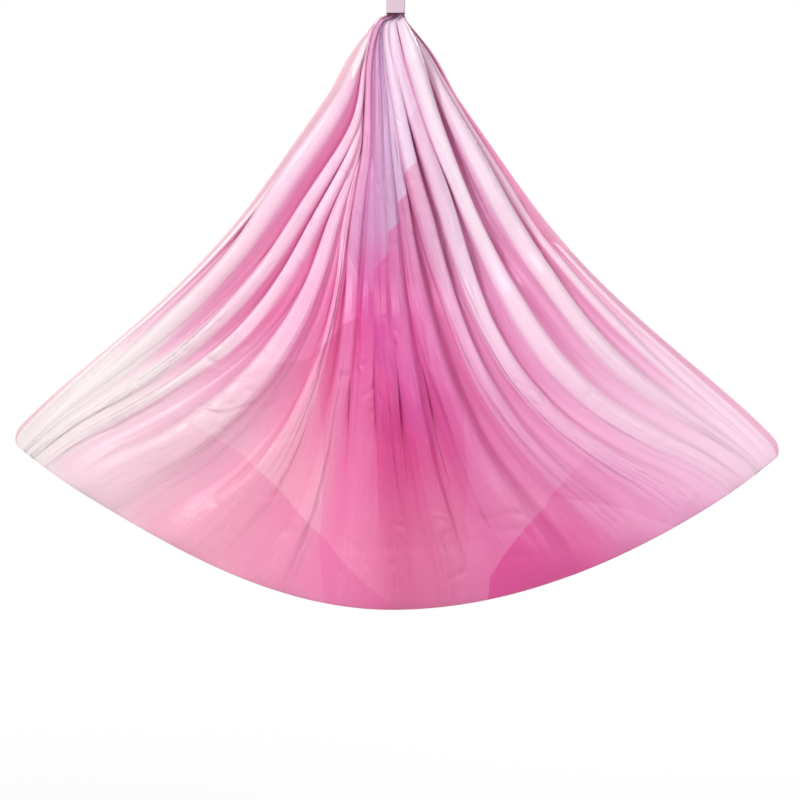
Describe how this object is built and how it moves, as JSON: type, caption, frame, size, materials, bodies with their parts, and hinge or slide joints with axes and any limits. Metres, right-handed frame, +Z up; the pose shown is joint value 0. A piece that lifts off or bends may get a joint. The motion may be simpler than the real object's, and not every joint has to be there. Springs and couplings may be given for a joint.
{
  "type": "aerial hammock",
  "caption": "Wide nylon cloth hung as a loop from gathered ends on a locking carabiner, ball-bearing swivel and upper carabiner, spread into a fan for aerial yoga.",
  "frame": {"origin": "inner face of the top carabiner's top bar, where the anchor's ring bears", "axes": "+Z up, the front of the cloth faces -Y, +X to the right as seen from the front"},
  "size_m": [2.5307, 0.2182, 2.3773],
  "materials": {
    "satin_steel": "satin",
    "bearing_steel": "polished",
    "sleeve_aluminium": "anodised",
    "swivel_aluminium": "anodised",
    "bronze": "machined",
    "seal_rubber": "matte",
    "strap_webbing": "woven",
    "cuff_webbing": "woven",
    "printed_nylon": "satin"
  },
  "bodies": {
    "top_carabiner": {"top_frame": "satin_steel", "top_gate_pin": "bearing_steel"},
    "top_gate": {"top_gate": "satin_steel", "top_gate_spring": "bearing_steel"},
    "top_plunger": {"top_gate_plunger": "bearing_steel"},
    "top_sleeve": {"top_lock_sleeve": "sleeve_aluminium"},
    "swivel_upper": {"swivel_upper_eye": "swivel_aluminium", "swivel_housing": "swivel_aluminium", "swivel_bush": "bronze", "swivel_seal": "seal_rubber", "swivel_lower_race": "bearing_steel"},
    "bearing_cage": {"swivel_cage": "bronze", "swivel_ball_1": "bearing_steel", "swivel_ball_2": "bearing_steel", "swivel_ball_3": "bearing_steel", "swivel_ball_4": "bearing_steel", "swivel_ball_5": "bearing_steel", "swivel_ball_6": "bearing_steel", "swivel_ball_7": "bearing_steel", "swivel_ball_8": "bearing_steel", "swivel_ball_9": "bearing_steel", "swivel_ball_10": "bearing_steel"},
    "swivel_lower": {"swivel_lower_eye": "swivel_aluminium", "swivel_nut": "bearing_steel", "swivel_nut_pin": "bearing_steel", "swivel_upper_race": "bearing_steel"},
    "lower_carabiner": {"lower_frame": "satin_steel", "lower_gate_pin": "bearing_steel"},
    "lower_gate": {"lower_gate": "satin_steel", "lower_gate_spring": "bearing_steel"},
    "lower_plunger": {"lower_gate_plunger": "bearing_steel"},
    "lower_sleeve": {"lower_lock_sleeve": "sleeve_aluminium"},
    "hammock": {"hammock_cloth": "printed_nylon", "front_cuff": "cuff_webbing", "back_cuff": "cuff_webbing", "front_loop": "strap_webbing", "back_loop": "strap_webbing"}
  },
  "joints": [
    {"name": "top_gate_hinge", "type": "hinge", "parent": "top_carabiner", "child": "top_gate", "pos_m": [0.0265, 0, -0.019], "axis": [0, 1, 0], "range_deg": [0, 25], "stiffness_Nm_per_rad": 0.4, "springref_deg": -28.65},
    {"name": "top_plunger_slide", "type": "slide", "parent": "top_gate", "child": "top_plunger", "axis": [0, 0, -1], "range_m": [0, 0.00162], "deforming": ["top_gate_spring"]},
    {"name": "top_sleeve_slide", "type": "slide", "parent": "top_gate", "child": "top_sleeve", "axis": [0, 0, 1], "range_m": [-0.0125, 0]},
    {"name": "swivel_swing", "type": "hinge", "parent": "top_carabiner", "child": "swivel_upper", "pos_m": [0, 0, -0.0955], "axis": [1, 0, 0], "range_deg": [-60, 60]},
    {"name": "swivel_spin", "type": "hinge", "parent": "swivel_upper", "child": "swivel_lower", "pos_m": [0, 0, -0.1479], "axis": [0, 0, 1], "continuous": true},
    {"name": "cage_spin", "type": "hinge", "parent": "swivel_upper", "child": "bearing_cage", "pos_m": [0, 0, -0.1479], "axis": [0, 0, 1], "continuous": true},
    {"name": "lower_carabiner_swing", "type": "hinge", "parent": "swivel_lower", "child": "lower_carabiner", "pos_m": [0, 0, -0.1897], "axis": [0, 1, 0], "range_deg": [-60, 60]},
    {"name": "lower_gate_hinge", "type": "hinge", "parent": "lower_carabiner", "child": "lower_gate", "pos_m": [0, 0.02255, -0.20892], "axis": [-1, 0, 0], "range_deg": [0, 25], "stiffness_Nm_per_rad": 0.4, "springref_deg": -28.65},
    {"name": "lower_plunger_slide", "type": "slide", "parent": "lower_gate", "child": "lower_plunger", "axis": [0, 0.1316, -0.9913], "range_m": [0, 0.00162], "deforming": ["lower_gate_spring"]},
    {"name": "lower_sleeve_slide", "type": "slide", "parent": "lower_gate", "child": "lower_sleeve", "axis": [0, -0.1316, 0.9913], "range_m": [-0.0125, 0]},
    {"name": "hammock_swing", "type": "hinge", "parent": "lower_carabiner", "child": "hammock", "pos_m": [0, 0, -0.3027], "axis": [0, 1, 0], "range_deg": [-45, 45]}
  ],
  "couplings": [
    {"joint": "top_plunger_slide", "follows": "top_gate_hinge", "m_per_rad": 0.003667},
    {"joint": "lower_plunger_slide", "follows": "lower_gate_hinge", "m_per_rad": 0.003667},
    {"joint": "cage_spin", "follows": "swivel_spin", "ratio": 0.5}
  ]
}
